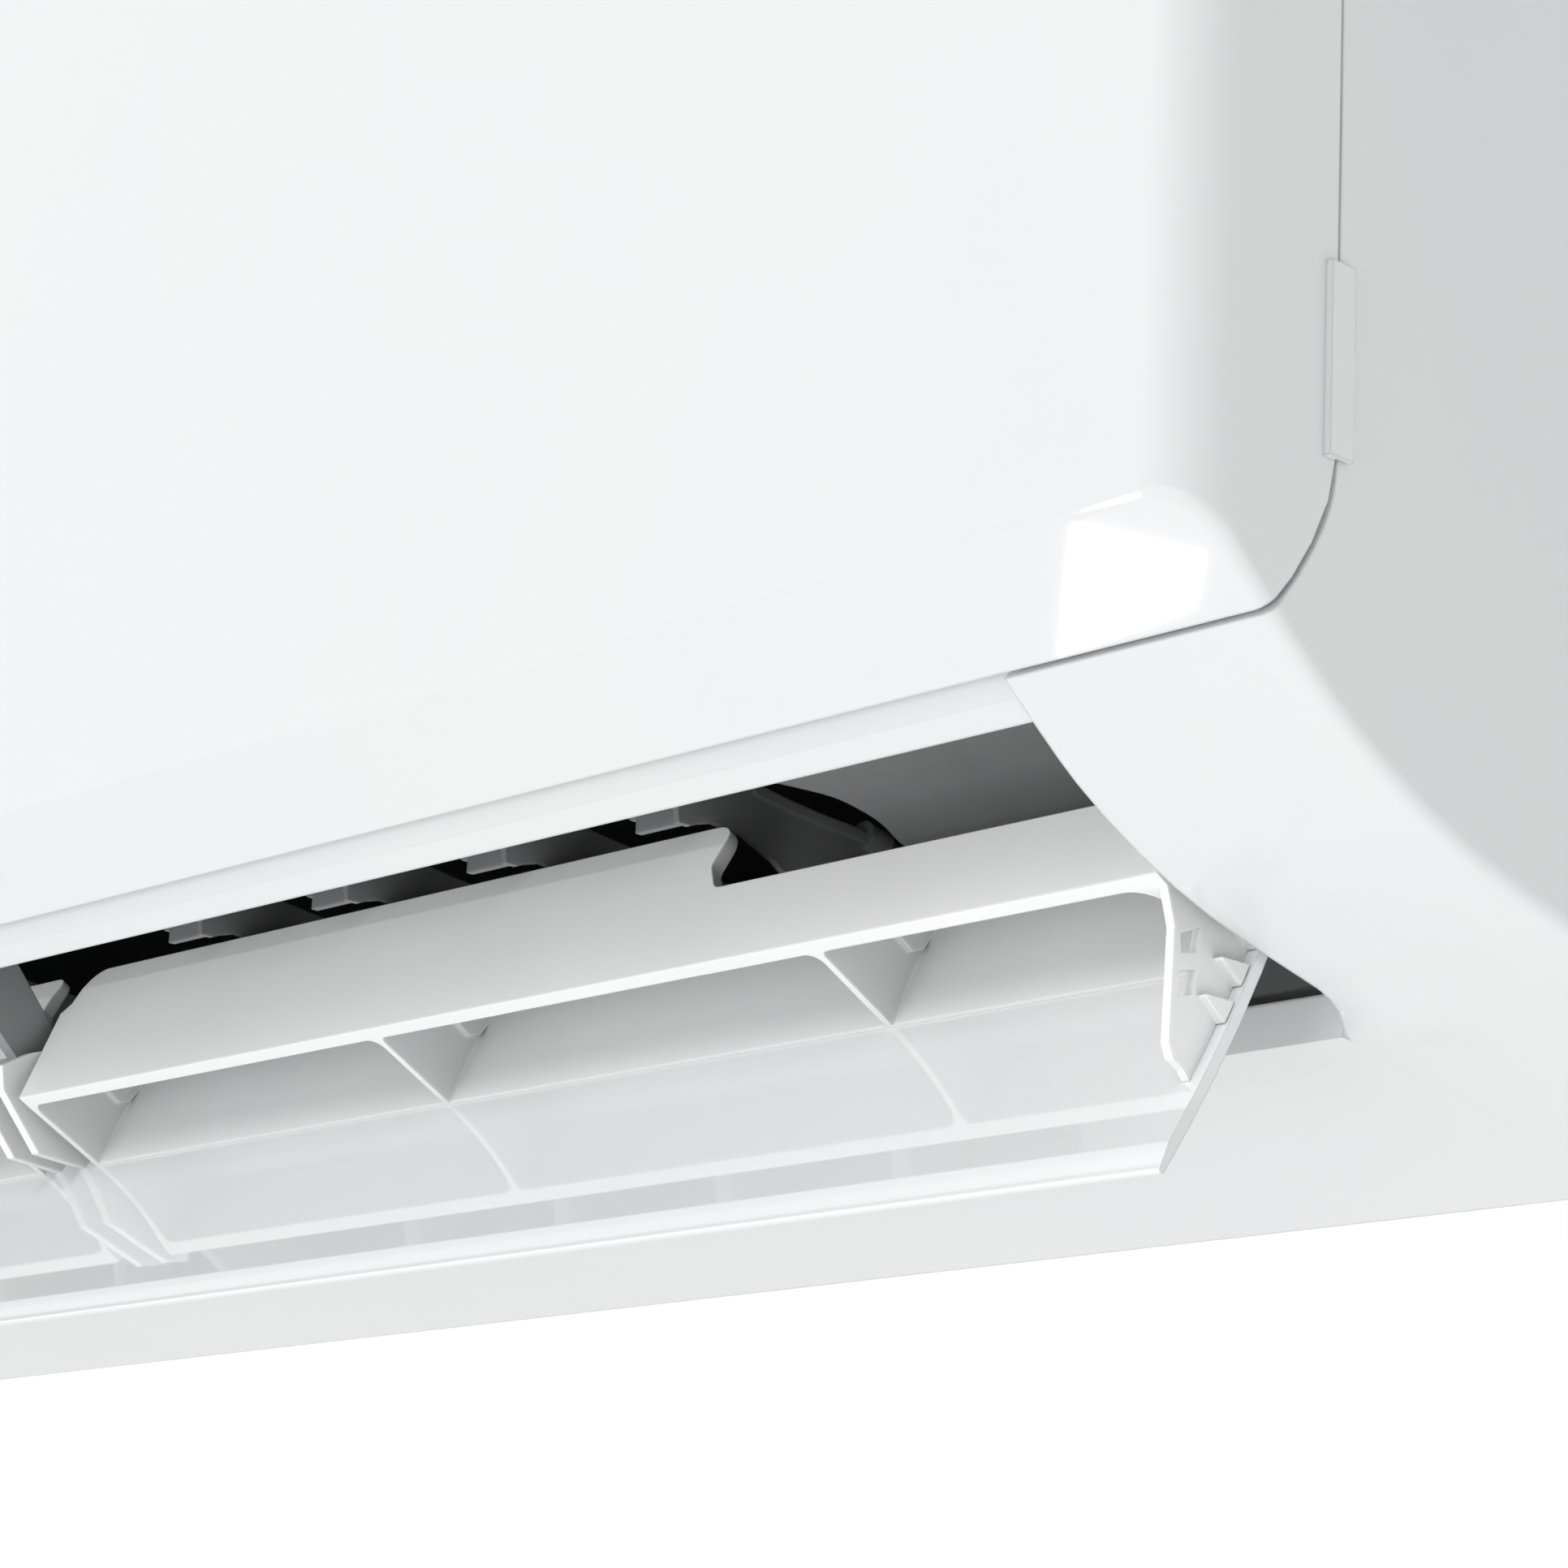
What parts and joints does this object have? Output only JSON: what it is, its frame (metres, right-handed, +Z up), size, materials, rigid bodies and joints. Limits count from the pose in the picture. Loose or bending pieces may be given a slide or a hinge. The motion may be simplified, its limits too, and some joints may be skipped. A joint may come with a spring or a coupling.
{
  "type": "air conditioner indoor unit",
  "caption": "Wall-hung split air conditioner indoor unit with lift-up front panel, open air vane, swing louvers, cross-flow fan, coil, filters and wall plate.",
  "frame": {"origin": "centre of the wall plate's back face, on the wall", "axes": "+X to the right as seen from the room, -Y out of the wall towards the room, +Z up"},
  "size_m": [0.8048, 0.189, 0.3146],
  "materials": {
    "zinc_plate": "zinc-plated sheet, satin",
    "black_plastic": "black moulded ABS, fine grain",
    "white_shell": "white ABS, glossy",
    "white_panel": "white ABS, high gloss",
    "white_inner": "white ABS, satin",
    "grey_plastic": "grey ABS, half gloss",
    "fin_aluminium": "thin coated fins",
    "galvanised": "galvanised sheet with a soft spangle",
    "copper": "drawn copper tube, slightly dulled",
    "brass": "turned brass",
    "grey_tube": "flexible grey PVC",
    "black_rubber": "matt black rubber",
    "motor_body": "moulded motor can, satin",
    "board_green": "green solder mask",
    "terminal_grey": "moulded terminal strip",
    "smoked_lens": "dark infrared lens",
    "stepper_steel": "pressed steel can",
    "sensor_copper": "copper sleeve",
    "screw_steel": "zinc-plated steel",
    "white_gloss_vane": "white ABS, high gloss",
    "white_satin_vane": "white ABS, satin",
    "fan_grey": "grey glass-filled plastic",
    "shaft_steel": "ground steel",
    "filter_frame_white": "pale moulded frame",
    "filter_mesh": "fine nylon mesh",
    "white_button": "white ABS",
    "louver_grey": "dark grey ABS, satin"
  },
  "bodies": {
    "casing": {"wall_plate": "zinc_plate", "rear_chassis": "black_plastic", "front_frame": "white_shell", "filter_grid": "white_inner", "top_grille": "white_shell", "drain_tray": "grey_plastic", "duct_end_baffle": "grey_plastic", "centre_support": "louver_grey", "evaporator_front": "fin_aluminium", "evaporator_top": "fin_aluminium", "evaporator_rear": "fin_aluminium", "tube_plate_left": "galvanised", "tube_plate_right": "galvanised", "return_bends": "copper", "suction_pipe": "copper", "liquid_pipe": "copper", "suction_union": "brass", "liquid_union": "brass", "pipe_clamp": "black_plastic", "drain_spigot": "grey_tube", "drain_plug": "black_rubber", "fan_motor": "motor_body", "motor_bracket": "black_plastic", "motor_cushions": "black_rubber", "fan_bearing": "black_rubber", "control_box": "black_plastic", "control_box_cover": "black_plastic", "circuit_board": "board_green", "terminal_block": "terminal_grey", "display_board": "board_green", "receiver_lens": "smoked_lens", "vane_motor": "stepper_steel", "louver_motor_left": "stepper_steel", "louver_motor_right": "stepper_steel", "pipe_sensor": "sensor_copper", "frame_screws": "screw_steel", "cover_screws": "screw_steel"},
    "panel": {"front_panel": "white_panel"},
    "vane": {"vane_plate": "white_gloss_vane", "vane_inner": "white_satin_vane"},
    "fan": {"cross_flow_fan": "fan_grey", "fan_shafts": "shaft_steel"},
    "filter_left": {"filter_frame_left": "filter_frame_white", "filter_mesh_left": "filter_mesh"},
    "filter_right": {"filter_frame_right": "filter_frame_white", "filter_mesh_right": "filter_mesh"},
    "button": {"auto_button": "white_button"},
    "link_left": {"link_bar_left": "louver_grey"},
    "link_right": {"link_bar_right": "louver_grey"},
    "louver_1": {"louver_1": "louver_grey"},
    "louver_2": {"louver_2": "louver_grey"},
    "louver_3": {"louver_3": "louver_grey"},
    "louver_4": {"louver_4": "louver_grey"},
    "louver_5": {"louver_5": "louver_grey"},
    "louver_6": {"louver_6": "louver_grey"},
    "louver_7": {"louver_7": "louver_grey"},
    "louver_8": {"louver_8": "louver_grey"},
    "louver_9": {"louver_9": "louver_grey"},
    "louver_10": {"louver_10": "louver_grey"}
  },
  "joints": [
    {"name": "panel_hinge", "type": "hinge", "parent": "casing", "child": "panel", "pos_m": [0, -0.1832, 0.122], "axis": [-1, 0, 0], "range_deg": [0, 55]},
    {"name": "vane_pivot", "type": "hinge", "parent": "casing", "child": "vane", "pos_m": [0, -0.1078, -0.1151], "axis": [1, 0, 0], "range_deg": [-83.7, 2]},
    {"name": "fan_spin", "type": "hinge", "parent": "casing", "child": "fan", "pos_m": [0, -0.092, -0.01], "axis": [1, 0, 0], "continuous": true},
    {"name": "filter_left_slide", "type": "slide", "parent": "casing", "child": "filter_left", "axis": [0, 0, 1], "range_m": [0, 0.2]},
    {"name": "filter_right_slide", "type": "slide", "parent": "casing", "child": "filter_right", "axis": [0, 0, 1], "range_m": [0, 0.2]},
    {"name": "button_press", "type": "slide", "parent": "casing", "child": "button", "axis": [0, 1, 0], "range_m": [0, 0.0015], "stiffness_N_per_m": 600, "springref_m": -0.001},
    {"name": "louver_1_swing", "type": "hinge", "parent": "casing", "child": "louver_1", "pos_m": [-0.311, -0.105, -0.068], "axis": [0, -0.9832, 0.1826], "range_deg": [-28, 28]},
    {"name": "louver_2_swing", "type": "hinge", "parent": "casing", "child": "louver_2", "pos_m": [-0.26, -0.105, -0.068], "axis": [0, -0.9832, 0.1826], "range_deg": [-28, 28]},
    {"name": "louver_3_swing", "type": "hinge", "parent": "casing", "child": "louver_3", "pos_m": [-0.209, -0.105, -0.068], "axis": [0, -0.9832, 0.1826], "range_deg": [-28, 28]},
    {"name": "louver_4_swing", "type": "hinge", "parent": "casing", "child": "louver_4", "pos_m": [-0.158, -0.105, -0.068], "axis": [0, -0.9832, 0.1826], "range_deg": [-28, 28]},
    {"name": "louver_5_swing", "type": "hinge", "parent": "casing", "child": "louver_5", "pos_m": [-0.107, -0.105, -0.068], "axis": [0, -0.9832, 0.1826], "range_deg": [-28, 28]},
    {"name": "louver_6_swing", "type": "hinge", "parent": "casing", "child": "louver_6", "pos_m": [-0.056, -0.105, -0.068], "axis": [0, -0.9832, 0.1826], "range_deg": [-28, 28]},
    {"name": "louver_7_swing", "type": "hinge", "parent": "casing", "child": "louver_7", "pos_m": [0.056, -0.105, -0.068], "axis": [0, -0.9832, 0.1826], "range_deg": [-28, 28]},
    {"name": "louver_8_swing", "type": "hinge", "parent": "casing", "child": "louver_8", "pos_m": [0.107, -0.105, -0.068], "axis": [0, -0.9832, 0.1826], "range_deg": [-28, 28]},
    {"name": "louver_9_swing", "type": "hinge", "parent": "casing", "child": "louver_9", "pos_m": [0.158, -0.105, -0.068], "axis": [0, -0.9832, 0.1826], "range_deg": [-28, 28]},
    {"name": "louver_10_swing", "type": "hinge", "parent": "casing", "child": "louver_10", "pos_m": [0.209, -0.105, -0.068], "axis": [0, -0.9832, 0.1826], "range_deg": [-28, 28]},
    {"name": "link_left_swing", "type": "hinge", "parent": "louver_1", "child": "link_left", "pos_m": [-0.311, -0.13905, -0.0815], "axis": [0, -0.9832, 0.1826], "range_deg": [-28, 28]},
    {"name": "link_right_swing", "type": "hinge", "parent": "louver_10", "child": "link_right", "pos_m": [0.209, -0.13905, -0.0815], "axis": [0, -0.9832, 0.1826], "range_deg": [-28, 28]}
  ],
  "couplings": [
    {"joint": "louver_2_swing", "follows": "louver_1_swing", "ratio": 1},
    {"joint": "louver_3_swing", "follows": "louver_1_swing", "ratio": 1},
    {"joint": "louver_4_swing", "follows": "louver_1_swing", "ratio": 1},
    {"joint": "louver_5_swing", "follows": "louver_1_swing", "ratio": 1},
    {"joint": "louver_6_swing", "follows": "louver_1_swing", "ratio": 1},
    {"joint": "louver_7_swing", "follows": "louver_10_swing", "ratio": 1},
    {"joint": "louver_8_swing", "follows": "louver_10_swing", "ratio": 1},
    {"joint": "louver_9_swing", "follows": "louver_10_swing", "ratio": 1},
    {"joint": "link_left_swing", "follows": "louver_1_swing", "ratio": -1},
    {"joint": "link_right_swing", "follows": "louver_10_swing", "ratio": -1}
  ]
}
